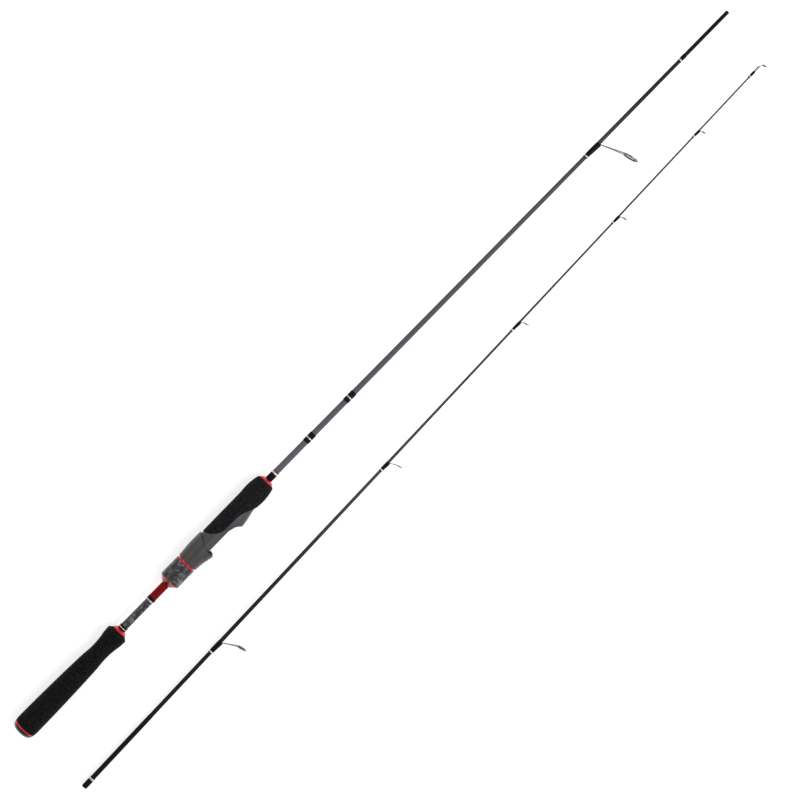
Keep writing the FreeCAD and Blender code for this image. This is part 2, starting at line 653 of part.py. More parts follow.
bed_and_mouth = slab("bed_and_mouth", [
    ("body_start - 5", "-(swoop_reach + 1)"), ("body_start - 5", "-bed_depth"),
    ("fixed_mouth_at", "-bed_depth"),
    ("fixed_throat_at", "-fixed_throat_depth", "-fixed_throat_curve"),
    ("fixed_lip_at - 0.3", "-(fixed_lip_depth - 0.5)"),
    ("fixed_lip_at + 0.5", "-(fixed_lip_depth + 0.6)"),
    ("fixed_lip_at + 0.5", "-(swoop_reach + 1)")], "swoop_reach")
bed_lines = [
    box(f"bed_line_{number}", (at, "-swoop_reach", "-swoop_reach"),
        (f"{at} + bed_line", "-(bed_depth - bed_line_depth)", "swoop_reach"))
    for number, at in enumerate(("bed_start - bed_line", "bed_end"), 1)]
POCKET_ROOF = [
    ("fixed_mouth_at - 1", "pocket_mouth_radius", "pocket_mouth_shift"),
    ("fixed_lip_at + 1", "pocket_radius", "pocket_shift"),
    ("pocket_end", "pocket_end_radius", "pocket_end_shift")]
pocket_roof = lofted("pocket_roof", POCKET_ROOF)
pocket_floor = box("pocket_floor", ("fixed_mouth_at - 2", "-30", "-20"),
                   ("pocket_end + 1", "-bed_depth", "20"))
pocket = shared("fixed_pocket", pocket_roof, pocket_floor)
keyway = box("barrel_keyway", ("barrel_start - 1", "keyway_floor", "-keyway_width / 2"),
             ("body_start", "barrel_crest_radius + 1", "keyway_width / 2"))
seat_cut = without("seat_cut", seat_blank, [bed_and_mouth, pocket] + bed_lines)
seat_threaded = joined("seat_threaded", [seat_cut, trimmed_thread], refine=False)
butt_pieces.append(without("reel_seat_body", seat_threaded, [keyway]))

arbor_rear = tube("arbor_rear", "barrel_start + 0.3", "sleeve_end - 0.3",
                  "sleeve_radius + glue_gap", "seat_bore_radius - glue_gap")
arbor_middle = tube("arbor_middle", "body_start + 12", "body_start + 22",
                    "handle_blank_radius + glue_gap", "seat_bore_radius - glue_gap")
arbor_front = tube("arbor_front", "body_end - 12", "body_end - 2",
                   f"{butt_skin('body_end - 12')} + glue_gap", "seat_bore_radius - glue_gap")
butt_pieces.append(grouped("seat_arbors", [arbor_rear, arbor_middle, arbor_front]))


def inset(sections, amount):
    """The same loft sections, each a little smaller."""
    return [(station, f"{radius} - {amount}", shift) for station, radius, shift in sections]


liner_outer = lofted("fixed_liner_outer", inset(POCKET_ROOF, "glue_gap"))
liner_inner = lofted("fixed_liner_inner", inset(POCKET_ROOF, "liner_thickness"))
liner_window = box("fixed_liner_window", ("fixed_lip_at", "-30", "-9"),
                   ("pocket_end - 0.2", "-(bed_depth + 1)", "9"))
fixed_liner_ring = without("fixed_liner_ring", liner_outer, [liner_inner])
butt_pieces.append(shared("fixed_hood_liner", fixed_liner_ring, liner_window))

# ---------------------------------------------------------------- fore grip
grip_round = turned("fore_grip_round", [
    ("swoop_start - 2", "body_core_radius + glue_gap"),
    ("swoop_start - 2", "fore_grip_radius - 0.25"),
    ("fore_grip_full_to", "fore_grip_radius", "-fore_grip_curve"),
    ("fore_grip_shoulder_at", "fore_grip_shoulder", "-3.2"),
    ("fore_grip_end", "grip_nose_radius"),
    ("fore_grip_end", f"{butt_skin('body_end')} + glue_gap"),
    ("body_end + glue_gap", f"{butt_skin('body_end')} + glue_gap"),
    ("body_end + glue_gap", "body_core_radius + glue_gap")])
butt_pieces.append(without("fore_grip", grip_round, [reel_side]))
butt_pieces.append(winding_check(
    "fore_grip_check", "fore_grip_end", f"{butt_skin('fore_grip_end')} + glue_gap"))

# ------------------------------------------------------ wraps of the section
butt_pieces.append(wrap("fore_grip_wrap", "fore_grip_end + check_length", "fore_wrap_end",
                        butt_skin))
butt_pieces.append(wrap("lower_trim_wrap", "lower_trim_start", "lower_trim_end", butt_skin))
butt_pieces.append(wrap("upper_trim_wrap", "upper_trim_start", "upper_trim_end", butt_skin))


def shoulder_skin(station):
    """The short, parallel end of the butt blank, next to the male ferrule."""
    return "shoulder_radius + 0.02"


butt_pieces.append(wrap("ferrule_wrap", "ferrule_wrap_start", "spigot_start - 1.2",
                        shoulder_skin, "0.3"))


def collar_skin(station):
    """The collars' radius, less the thickness that a band adds to."""
    return "collar_radius - wrap_thickness"


# ------------------------------------------------------------------- guides
def stay(label, start, stop, radius):
    """A straight round wire between two points."""
    run = stop - start
    wire = doc.addObject("Part::Cylinder", label)
    wire.setExpression("Radius", bound(radius))
    wire.Height = run.Length
    wire.Placement = FreeCAD.Placement(start, FreeCAD.Rotation(V(0, 0, 1), run))
    return wire


def ring_seat(word):
    """Where a guide's ring stands, leaning towards the tip."""
    lean = FreeCAD.Rotation(V(0, 0, 1), size("ring_lean"))
    centre = V(size(f"{word}_ring_at"), -size(f"{word}_ring_drop"), 0)
    return FreeCAD.Placement(centre, lean)


def guide_rings(name, word):
    """The wire hoop, and the ceramic ring set in it, both about the X axis."""
    outer, wire = f"{word}_ring_radius", f"{word}_wire"
    hoop = turned(name + "_hoop", [
        (f"-{wire}", f"{outer} - 1.5 * {wire}"), (f"-{wire}", f"{outer} - 0.4 * {wire}"),
        (f"-0.5 * {wire}", outer), (f"0.5 * {wire}", outer),
        (wire, f"{outer} - 0.4 * {wire}"), (wire, f"{outer} - 1.5 * {wire}")])
    seat = f"{outer} - 1.5 * {wire} - glue_gap"
    depth, half = f"2.1 * {wire}", f"1.7 * {wire}"
    ring = turned(name + "_ring", [
        (f"-{half}", f"{seat} - 0.35 * {depth}", f"-1.9 * {wire}"),
        (f"-0.55 * {half}", seat), (f"0.55 * {half}", seat, f"-1.9 * {wire}"),
        (half, f"{seat} - 0.35 * {depth}"), (half, f"{seat} - 0.6 * {depth}", f"-2.2 * {wire}"),
        (f"-{half}", f"{seat} - 0.6 * {depth}")])
    place = ring_seat(word)
    hoop.Placement = place
    ring.Placement = place
    return hoop, ring, place


def guide(name, word, skin):
    """A single-foot guide: hoop, ceramic ring, two legs and a foot under its wrap."""
    hoop, ring, place = guide_rings(name, word)
    wire = size(f"{word}_wire")
    start, end = f"{word}_wrap_start", f"{word}_wrap_end"
    toe = V(size(end) + 0.9 * wire, -(size(skin(end)) + 1.03 * wire + 0.02), 0)
    reach = size(f"{word}_ring_radius") - 0.75 * wire
    spread = math.radians(38)
    pieces = [hoop]
    for letter, side in (("a", -1), ("b", 1)):
        root = toe + V(0, 0, side * 0.5 * wire)
        on_hoop = place.multVec(V(0, reach * math.cos(spread), side * reach * math.sin(spread)))
        pieces.append(stay(f"{name}_leg_{letter}", root, on_hoop, f"{word}_wire"))

    # the foot lies on the blank, in a channel that it leaves in the wrap
    foot_start, foot_outside = f"{end} - 0.38 * ({end} - {start})", f"{skin(end)} + 1.3 * {word}_wire"
    foot = box(name + "_foot",
               (foot_start, f"-({foot_outside})", f"-1.4 * {word}_wire"),
               (f"{end} + 1.5 * {word}_wire", f"-({skin(end)} + 0.08)", f"1.4 * {word}_wire"))
    frame = joined(name + "_frame", pieces + [foot])
    channel = box(name + "_foot_channel",
                  (f"{foot_start} - glue_gap", f"-({foot_outside} + glue_gap)",
                   f"-(1.4 * {word}_wire + glue_gap)"),
                  (f"{end} + 1", "0", f"1.4 * {word}_wire + glue_gap"))
    swell = f"1.1 * {word}_wire"
    cover = lofted(name + "_wrap_solid", [
        (start, f"{skin(start)} + 0.12", "0"),
        (f"{start} + 1", f"{skin(start)} + 0.34", "0.03"),
        (f"{start} + 3", f"{skin(start)} + 0.36", "0.05"),
        (f"{end} - 2", f"{skin(end)} + 0.3 + {swell}", swell),
        (end, f"{skin(end)} + 0.12 + 0.95 * {swell}", swell)], ruled=True)
    bore = doc.addObject("Part::Cone", name + "_wrap_bore")
    bore.setExpression("Radius1", bound(f"{skin(start)} + glue_gap"))
    bore.setExpression("Radius2", bound(f"{skin(end)} + glue_gap"))
    bore.setExpression("Height", bound(f"{end} - {start}"))
    bore.Placement = FreeCAD.Placement(V(size(start), 0, 0), thread_axis)
    return [frame, ring, without(name + "_wrap", cover, [bore, channel])]


def guide_band(name, word, skin, offset):
    """The metallic band near the rear end of a guide's wrap."""
    return band(name, f"{word}_wrap_start + {offset}", "1.7", skin, "0.42")


butt_pieces += guide("stripper_guide", "stripper", butt_skin)
butt_pieces.append(grouped("butt_trim_bands", [
    band("rear_collar_band", "rear_grip_end + check_length + 2.2", "0.9", collar_skin),
    band("front_collar_band", "front_collar_start + 0.7", "1.5", collar_skin),
    band("fore_wrap_band", "fore_wrap_end - 3.2", "2.2", butt_skin),
    band("lower_trim_band", "lower_trim_start + 5", "1.4", butt_skin),
    band("upper_trim_band", "upper_trim_start + 5.2", "1.5", butt_skin),
    band("ferrule_band", "ferrule_wrap_start + 1", "1.9", shoulder_skin, "0.3"),
    guide_band("stripper_band", "stripper", butt_skin, "1.1")]))

# -------------------------------------------------------------- tip section
tip_pieces.append(turned("tip_blank", [
    ("0", "socket_radius")] + TIP_STATIONS + [
    ("tip_end", "0"), ("tip_fourth_at + 20", "0"), ("tip_fourth_at", "0.4 * tip_fourth_radius"),
    ("tip_third_at", "0.6 * tip_third_radius"), ("tip_second_at", "0.7 * tip_second_radius"),
    ("socket_depth + 3", "0.72 * tip_step_radius"), ("socket_depth", "socket_radius")]))
tip_pieces.append(wrap("ferrule_socket_wrap", "socket_wrap_start", "socket_wrap_end", tip_skin,
                       "0.34"))

WORDS = ["first", "second", "third", "fourth", "fifth"]
bands = [band("socket_band", "socket_wrap_end - 3.4", "2.2", tip_skin, "0.34")]
for number, word in enumerate(WORDS, 1):
    tip_pieces += guide(f"guide_{number}", word, tip_skin)
    bands.append(guide_band(f"guide_{number}_band", word, tip_skin, "1.1"))

# tip-top: a tube over the end of the blank, and a wire that carries its ring
hoop, ring, place = guide_rings("tip_top", "tip_top")
tip_tube = tube("tip_top_tube", "tip_top_tube_start", "tip_top_tube_end",
                f"{tip_skin('tip_top_tube_start')} + glue_gap",
                f"{tip_skin('tip_top_tube_start')} + tip_top_tube_wall")
tip_plug = turned("tip_top_plug", [
    ("tip_end + 0.1", "0"), ("tip_end + 0.1", f"{tip_skin('tip_end')} + 0.2"),
    ("tip_top_tube_end", f"{tip_skin('tip_end')} + 0.2"),
    ("tip_top_tube_end + 0.7", "0.35"), ("tip_top_tube_end + 0.7", "0")])
hoop_reach = size("tip_top_ring_radius - 0.75 * tip_top_wire")
tip_wires = []
for side in (-1, 1):
    letter = "a" if side < 0 else "b"
    root = V(size("tip_top_tube_end - 1.2"), 0, side * size("tip_top_wire"))
    on_hoop = place.multVec(V(0, hoop_reach * 0.8, side * hoop_reach * 0.6))
    tip_wires.append(stay(f"tip_top_arm_{letter}", root, on_hoop, "tip_top_wire"))
tip_pieces.append(joined("tip_top_frame", [tip_tube, tip_plug, hoop] + tip_wires))
tip_pieces.append(ring)


def tip_tube_skin(station):
    """The tip-top's tube, which its wrap lies on, and the blank behind it."""
    return f"{tip_skin('tip_top_tube_start')} + tip_top_tube_wall"


tip_wrap = wrap("tip_top_wrap", "tip_top_wrap_start", "tip_top_wrap_end", tip_tube_skin, "0.25")
tip_pieces.append(tip_wrap)
bands.append(band("tip_top_band", "tip_top_wrap_start + 1", "1.6", tip_tube_skin, "0.25"))
tip_pieces.append(grouped("tip_trim_bands", bands))

# -------------------------------------------------------------- moving hood
hood_pieces, nut_pieces = [], []
hood_round = lofted("hood_round", [
    ("hood_start", "hood_rear_radius", "0"),
    ("hood_swell_at", "hood_swell_radius", "0"),
    ("hood_full_at", "hood_full_radius", "0"),
    ("hood_crest_at", "hood_crest_radius", "0"),
    ("hood_front_at", "hood_front_radius", "0")])
hood_lip = lofted("hood_lip", [
    ("lip_rear_at", "lip_rear_radius", "lip_rear_shift"),
    ("lip_rise_at", "lip_rise_radius", "lip_rise_shift"),
    ("lip_at", "lip_radius", "lip_shift"),
    ("hood_front_at", "lip_radius", "lip_front_shift")])
hood_tail = turned("hood_tail", [
    ("spigot_tube_start", "spigot_tube_bore - 0.4"), ("spigot_tube_start", "spigot_tube_radius"),
    ("snap_start - snap_gap", "spigot_tube_radius"),
    ("snap_start - snap_gap", "snap_inner_radius - snap_gap"),
    ("snap_start + snap_width + snap_gap", "snap_inner_radius - snap_gap"),
    ("snap_start + snap_width + snap_gap", "spigot_tube_radius"),
    ("hood_start + 1", "spigot_tube_radius"), ("hood_start + 1", "spigot_tube_bore - 0.4")])
hood_whole = joined("hood_whole", [hood_round, hood_lip, hood_tail])
hood_hollow = rod("hood_hollow", "hood_web_end", "hood_front_at + 2", "hood_bore_radius")
hood_tail_bore = rod("hood_tail_bore", "spigot_tube_start - 1", "hood_web_end + 1",
                     "spigot_tube_bore")
MOVING_ROOF = [
    ("hood_pocket_start", "hood_pocket_rear_radius", "hood_pocket_rear_shift"),
    ("hood_pocket_full_at", "hood_pocket_radius", "hood_pocket_shift"),
    ("hood_front_at + 2", "hood_pocket_radius", "hood_pocket_shift")]
moving_pocket = lofted("moving_pocket", MOVING_ROOF)
front_cutter = slab("hood_front_cutter", [
    ("hood_edge_low", "-20"), ("hood_edge_low", "-15.4", "180"),
    ("hood_edge_middle", "-hood_edge_middle_depth", "29"),
    ("hood_edge_top", "13.2"), ("hood_edge_top", "20"),
    ("hood_front_at + 4", "20"), ("hood_front_at + 4", "-20")], "20")
hood_shell = without("hood_shell", hood_whole, [
    hood_hollow, hood_tail_bore, moving_pocket, front_cutter])
hood_key = box("hood_key", ("spigot_tube_start + 0.5", "keyway_floor + key_gap",
                            "-(keyway_width / 2 - key_gap)"),
               ("hood_web_end - 0.5", "spigot_tube_bore + 0.4", "keyway_width / 2 - key_gap"))
hood_pieces.append(joined("moving_hood", [hood_shell, hood_key]))

moving_liner_outer = lofted("moving_liner_outer", inset(MOVING_ROOF, "glue_gap"))
moving_liner_inner = lofted("moving_liner_inner", inset(MOVING_ROOF, "liner_thickness"))
moving_liner_ring = without("moving_liner_ring", moving_liner_outer, [moving_liner_inner])
moving_liner_window = slab("moving_liner_window", [
    ("hood_pocket_start + 2", "-20"), ("hood_pocket_start + 2", "-(bed_depth + 0.35)"),
    ("hood_edge_low + liner_lead + 0.7", "-(bed_depth + 0.35)"),
    ("hood_edge_low + liner_lead", "-(hood_pocket_radius + hood_pocket_shift - 0.4)"),
    ("hood_edge_low + liner_lead - 1", "-20")], "9")
hood_pieces.append(shared("moving_hood_liner", moving_liner_ring, moving_liner_window))
hood_pieces.append(tube(
    "hood_snap_ring", "snap_start", "snap_start + snap_width", "snap_inner_radius",
    "snap_outer_radius"))

# ----------------------------------------------------------------- lock nut
core_round = turned("nut_core_round", [
    ("nut_start", "nut_hollow_radius"), ("nut_start", "nut_core_radius"),
    ("nut_end", "nut_core_radius"), ("nut_end", "nut_front_bore"),
    ("snap_start + snap_width + snap_gap", "nut_front_bore"),
    ("snap_start + snap_width + snap_gap", "snap_outer_radius + snap_gap"),
    ("snap_start - snap_gap", "snap_outer_radius + snap_gap"),
    ("snap_start - snap_gap", "nut_front_bore"), ("nut_thread_end", "nut_front_bore"),
    ("nut_thread_end", "barrel_crest_radius + thread_clearance"),
    ("nut_thread_start", "barrel_crest_radius + thread_clearance"),
    ("nut_thread_start", "nut_hollow_radius")])
# the nut's own ridge runs half a pitch away from the barrel's
pitch = size("thread_pitch")
turns_to_nut = math.ceil(size("(nut_thread_start - thread_start) / thread_pitch"))
nut_ridge_start = size("thread_start") + (turns_to_nut + 0.5) * pitch
nut_thread = solid_from("nut_thread", thread_ridge(
    nut_ridge_start, size("nut_thread_end - nut_thread_foot") - 0.2 - nut_ridge_start,
    (size("barrel_root_radius + thread_clearance"), size("nut_thread_flat")),
    (size("barrel_crest_radius + 0.3"), size("nut_thread_foot"))))
nut_pieces.append(joined("lock_nut_core", [core_round, nut_thread], refine=False))
nut_pieces.append(turned("lock_nut_sleeve", [
    ("nut_start", "nut_core_radius + glue_gap"), ("nut_start", "nut_radius - 0.15"),
    ("nut_start + 0.3", "nut_radius"), ("nut_end - 0.4", "nut_radius"),
    ("nut_end", "nut_radius - 0.4"), ("nut_end", "nut_core_radius + glue_gap")]))
nut_pieces.append(tube("lock_nut_front_ring", "nut_end", "nut_ring_end", "nut_front_bore",
                       "nut_ring_radius"))
nut_pieces.append(turned("lock_nut_end_ring", [
    ("nut_bevel_at", "nut_bevel_radius - 1.4"), ("nut_bevel_at", "nut_bevel_radius"),
    ("nut_start", "nut_radius - 0.15"), ("nut_start", "nut_bevel_radius - 1.4")]))
nut_pieces.append(turned("lock_nut_tail", [
    ("nut_tail_at", "nut_tail_radius"), ("nut_tail_at", "nut_tail_rim", "-40"),
    ("nut_bevel_at", "nut_bevel_radius - 0.12"), ("nut_bevel_at", "nut_bevel_radius - 1.4"),
    ("nut_start", "nut_bevel_radius - 1.4"), ("nut_start", "nut_tail_rim + 1.6"),
    ("nut_bevel_at", "nut_tail_radius")]))

doc.recompute()

# ------------------------------------------------------------ lay them down
faults = [item.Name for item in doc.Objects
          if "Invalid" in item.State or "Error" in item.State]
if faults:
    raise SystemExit("failed objects: " + ", ".join(faults))

butt_place = FreeCAD.Placement(V(0, 0, size("butt_axis_height")), FreeCAD.Rotation())
tip_place = FreeCAD.Placement(
    V(size("tip_rear_at"), -size("tip_rear_drop"), size("tip_axis_height")),
    FreeCAD.Rotation(V(0, 0, 1), size("tip_yaw")))
sections = [(butt_place, butt_pieces + hood_pieces + nut_pieces), (tip_place, tip_pieces)]

# the shared origin is the middle of the whole part's footprint, on the table
whole = FreeCAD.BoundBox()
for place, pieces in sections:
    for piece in pieces:
        if piece.Shape.isNull() or not piece.Shape.isValid() or not piece.Shape.Solids:
            raise SystemExit("bad shape: " + piece.Label)
        laid = piece.Shape.copy()
        laid.Placement = place.multiply(laid.Placement)
        whole.add(laid.optimalBoundingBox(False, False))
origin = V(-whole.Center.x, -whole.Center.y, 0)
for place, pieces in sections:
    for piece in pieces:
        laid = place.multiply(piece.Placement)
        laid.Base = laid.Base + origin
        piece.Placement = laid
doc.recompute()

os.makedirs("parts", exist_ok=True)
for place, pieces in sections:
    for piece in pieces:
        piece.Shape.exportStep(f"parts/{piece.Label}.step")
        print(f"{piece.Label:24s} {len(piece.Shape.Solids)} solid(s) "
              f"{piece.Shape.Volume / 1000:8.3f} cm3")
print("origin shift", round(origin.x, 4), round(origin.y, 4))
print("box", [round(value, 3) for value in (
    whole.XMin, whole.XMax, whole.YMin, whole.YMax, whole.ZMin, whole.ZMax)])
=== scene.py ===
# %% [markdown]
# # A spinning rod, taken apart
#
# The object is a fishing rod in two sections. The butt section carries the foam grips, the reel
# seat with its screw-up hood, and the largest line guide. The tip section carries five small
# guides and the tip-top, and pushes onto the butt section's spigot.
#
# The rigid pieces come ready-made from the frame. This lesson gives each of them its finish, and
# builds the two soft pieces again, the foam grips, so that they look cut and sanded.

# %% Load the frame
import json
import math

import bmesh
import bpy
import numpy as np
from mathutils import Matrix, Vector


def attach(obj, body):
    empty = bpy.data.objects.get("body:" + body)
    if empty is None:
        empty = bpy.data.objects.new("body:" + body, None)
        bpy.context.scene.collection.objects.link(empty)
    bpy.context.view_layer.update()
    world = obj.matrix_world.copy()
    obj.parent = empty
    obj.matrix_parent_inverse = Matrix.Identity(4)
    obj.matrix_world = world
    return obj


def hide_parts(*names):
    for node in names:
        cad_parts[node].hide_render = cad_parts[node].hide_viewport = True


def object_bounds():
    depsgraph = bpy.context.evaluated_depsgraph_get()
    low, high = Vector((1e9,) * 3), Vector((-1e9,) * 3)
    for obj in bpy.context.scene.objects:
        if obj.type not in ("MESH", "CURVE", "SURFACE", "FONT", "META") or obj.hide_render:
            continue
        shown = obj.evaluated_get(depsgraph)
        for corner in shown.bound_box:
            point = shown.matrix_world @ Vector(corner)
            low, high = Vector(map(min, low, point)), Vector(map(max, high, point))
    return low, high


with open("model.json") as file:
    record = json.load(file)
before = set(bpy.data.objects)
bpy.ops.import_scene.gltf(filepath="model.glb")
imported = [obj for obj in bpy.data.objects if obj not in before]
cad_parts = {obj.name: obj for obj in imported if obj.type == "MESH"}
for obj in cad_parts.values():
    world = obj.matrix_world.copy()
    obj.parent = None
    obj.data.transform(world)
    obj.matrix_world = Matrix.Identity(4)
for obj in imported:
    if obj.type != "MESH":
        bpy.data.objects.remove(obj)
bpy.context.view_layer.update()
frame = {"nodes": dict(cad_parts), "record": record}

MM = 0.001

# %% [markdown]
# ## Where the two sections lie
#
# Nearly everything on a rod is round, so most of the work is done in a section's own coordinates:
# a distance along its axis, a radius, and an angle about it. The two ferrule mounts in the record
# say where each axis is and which way it points, so no angle has to be typed in by hand.
# An angle of zero is the side that the guides are on.

# %% The axis of each section
mounts = {mount["name"]: mount for mount in frame["record"]["mounts"]}
UP = Vector((0, 0, 1))
TURN = 2 * math.pi


class Section:
    """One section of the rod: a point at its rear end, the way along it, and the guide side."""

    def __init__(self, mount, rear_node, reverse):
        self.along = Vector(mount["axis"]).normalized() * (-1 if reverse else 1)
        self.side = self.along.cross(UP)
        on_axis = Vector(mount["pos_m"])
        rear = min((vertex.co - on_axis).dot(self.along)
                   for vertex in frame["nodes"][rear_node].data.vertices)
        self.rear = on_axis + self.along * rear

    def place(self, along, radius, angle):
        """A point in the frame from millimetres along, millimetres out and an angle."""
        out = self.side * math.cos(angle) + UP * math.sin(angle)
        return self.rear + (self.along * along + out * radius) * MM

    def read(self, point):
        """The opposite: how many millimetres along a point is, and how many out."""
        offset = (Vector(point) - self.rear) / MM
        return offset.dot(self.along), math.hypot(offset.dot(self.side), offset.dot(UP))


butt = Section(mounts["ferrule_spigot"], "butt_cap", reverse=False)
tip = Section(mounts["ferrule_socket"], "tip_blank", reverse=True)
for section in (butt, tip):
    print("rear", [round(value, 4) for value in section.rear],
          "along", [round(value, 4) for value in section.along])

# %% [markdown]
# ## Arithmetic on a surface
#
# A finish is easier to read as a formula than as a drawing of nodes. Every sum could be made
# node by node and link by link, at several lines each. Instead `Value` wraps the output of a
# node, so that `1 - mask * 2` adds the Math nodes that work it out for every point.

# %% Values
class Value:
    """The output of a shader node, ready for ordinary arithmetic."""

    def __init__(self, finish, socket):
        self.finish = finish
        self.socket = socket

    def maths(self, operation, *others):
        """A Math node that starts from this value."""
        return self.finish.node("ShaderNodeMath", {"operation": operation},
                                dict(enumerate((self, *others))))

    def flipped(self, operation, first):
        """A Math node that ends with this value."""
        return self.finish.node("ShaderNodeMath", {"operation": operation}, {0: first, 1: self})

    def __add__(self, other):
        return self.maths("ADD", other)

    def __radd__(self, other):
        return self.flipped("ADD", other)

    def __sub__(self, other):
        return self.maths("SUBTRACT", other)

    def __rsub__(self, other):
        return self.flipped("SUBTRACT", other)

    def __mul__(self, other):
        return self.maths("MULTIPLY", other)

    def __rmul__(self, other):
        return self.flipped("MULTIPLY", other)

    def __truediv__(self, other):
        return self.maths("DIVIDE", other)

    def __rtruediv__(self, other):
        return self.flipped("DIVIDE", other)

    def ripple(self):
        """A smooth wave from 0 to 1, one for each full turn of this value."""
        return self.maths("SINE") * 0.5 + 0.5

    def clamped(self):
        """The same value, kept between 0 and 1."""
        return self.maths("MAXIMUM", 0.0).maths("MINIMUM", 1.0)


print("values add, subtract, multiply and divide, with a number on either side")

# %% [markdown]
# ## One class for a finish
#
# `Finish` holds one material. Its `node` method adds any node: it takes the node's type, then
# its settings, then what goes into its sockets. `set` feeds the main shader. A number that is
# the same all over a piece is written on the shader's own socket, and only what varies is linked.

# %% Finishes
class Finish:
    """One material, built up by calls."""

    def __init__(self, name, **constants):
        self.material = bpy.data.materials.new(name)
        self.material.use_nodes = True
        tree = self.material.node_tree
        self.nodes, self.links = tree.nodes, tree.links
        self.shader = self.nodes["Principled BSDF"]
        self.set(**constants)

    def feed(self, socket, value):
        """Link a value to a socket, or write a constant into it."""
        if isinstance(value, Value):
            self.links.new(value.socket, socket)
        elif isinstance(value, tuple) and len(value) == 3 and socket.type == "RGBA":
            socket.default_value = (*value, 1.0)
        else:
            socket.default_value = value

    def set(self, **sockets):
        """Set the shader's sockets: base_color=... is its Base Color."""
        for name, value in sockets.items():
            title = name.replace("_", " ").title().replace("Ior", "IOR")
            self.feed(self.shader.inputs[title], value)
        return self

    def node(self, kind, settings=None, inputs=None, output=0):
        """Add a node: its settings first, then the values or links of its sockets."""
        made = self.nodes.new(kind)
        for name, value in (settings or {}).items():
            if name == "stops":
                ramp = made.color_ramp.elements
                while len(ramp) < len(value):
                    ramp.new(1.0)
                for element, (place, colour) in zip(ramp, value):
                    element.position = place
                    element.color = (*colour, 1.0)
            else:
                setattr(made, name, value)
        for name, value in (inputs or {}).items():
            self.feed(made.inputs[name], value)
        return Value(self, made.outputs[output])


print("a finish can:", [name for name in vars(Finish) if not name.startswith("_")])

# %% [markdown]
# ## Patterns to build with
#
# Most finishes here are made of the same few things: noise or cells over the place of a point,
# a colour between two others, and a relief. They could be typed out in every finish, but a short
# function with a plain name lets each finish say only what is special about it.

# %% Patterns, colours and relief
def place_in(finish):
    """Each point's place in the frame, in millimetres."""
    place = finish.node("ShaderNodeTexCoord", output="Object")
    return finish.node("ShaderNodeVectorMath", {"operation": "SCALE"}, {0: place, 3: 1 / MM})


def noise(vector, scale, detail=2.0, roughness=0.5, output=0):
    """Soft cloudy noise from 0 to 1, over a vector."""
    return vector.finish.node("ShaderNodeTexNoise", None,
                              {"Vector": vector, "Scale": scale, "Detail": detail,
                               "Roughness": roughness}, output)


def cell_field(vector, scale, output=0):
    """Irregular cells: the distance from a cell's middle, or as Color a colour for each cell."""
    return vector.finish.node("ShaderNodeTexVoronoi", {"feature": "F1"},
                              {"Vector": vector, "Scale": scale, "Randomness": 1.0}, output)


def blend(amount, first, second):
    """A colour between two colours, which are a Mix node's inputs 6 and 7."""
    return amount.finish.node("ShaderNodeMix", {"data_type": "RGBA"},
                              {0: amount, 6: first, 7: second}, output=2)


def relief(height, depth, strength):
    """A surface raised by a height from 0 to 1, depth millimetres tall."""
    return height.finish.node("ShaderNodeBump", None,
                              {"Height": height, "Distance": depth * MM, "Strength": strength})


def tell(title, *finishes):
    """Print which finishes were made, and how many nodes each has."""
    print(title, {finish.material.name: len(finish.nodes) for finish in finishes})


print("patterns: noise, cell_field. For the shader: blend, relief")

# %% [markdown]
# ## Foam for the grips
#
# Both grips are EVA foam, cut to shape and sanded. Its surface is a field of tiny broken cells,
# about a third of a millimetre across, with hardly any gloss. A Voronoi pattern gives the cells,
# and their floors are painted darker than their rims: painted shade in the pores. Slow noise makes
# one patch a little more worn than the next. The rear grip is the darker.

# %% Foam
def foam(name, dark, light):
    """Sanded foam, painted darker in its cells' floors than on their rims: painted shade in the
    pores.
    """
    finish = Finish(name, specular_ior_level=0.05, sheen_weight=0.03, sheen_roughness=0.5)
    point = place_in(finish)
    cells = cell_field(point, 2.6)
    grain = noise(point, 1.3, detail=3.0)
    worn = noise(point, 0.35, detail=4.0, roughness=0.7)
    # Darker where the cells and grain sink in the relief: painted shade in the pores.
    tone = (cells * 0.5 + grain * 0.4) * (worn * 4.4 - 1.4)
    return finish.set(base_color=blend(tone.clamped(), (dark, dark, dark * 1.15),
                                       (light, light, light * 1.1)),
                      roughness=0.78 + grain * 0.2,
                      normal=relief(cells * 0.7 + grain * 0.5, 0.12, 0.8))


rear_foam = foam("grip_foam_rear", 0.0015, 0.018)
fore_foam = foam("grip_foam_fore", 0.002, 0.030)
tell("foam:", rear_foam, fore_foam)

# %% [markdown]
# ## Moulded plastics
#
# The reel seat is glass-filled nylon with a fine spark-eroded skin. The moving hood has a soft
# coating over the same plastic. The butt cap and the nut's cone are polished and black. Each is
# one tone broken by fine noise, because even a plain moulding is never a single flat colour.
# The foam rings hidden in the seat have the same grain, only deeper, so they share the function.

# %% Plastics
def moulding(name, dark, light, roughness, grain_depth, **constants):
    """A moulded skin: fine grain over slow clouds of tone. The grain's depth is in millimetres."""
    finish = Finish(name, **constants)
    point = place_in(finish)
    grain = noise(point, 5.5, detail=4.0, roughness=0.65)
    cloud = noise(point, 0.16, detail=3.0)
    return finish.set(base_color=blend((grain * 0.5 + cloud * 0.7 - 0.1).clamped(), dark, light),
                      roughness=roughness + (cloud - 0.5) * 0.12,
                      normal=relief(grain, grain_depth, 0.7))


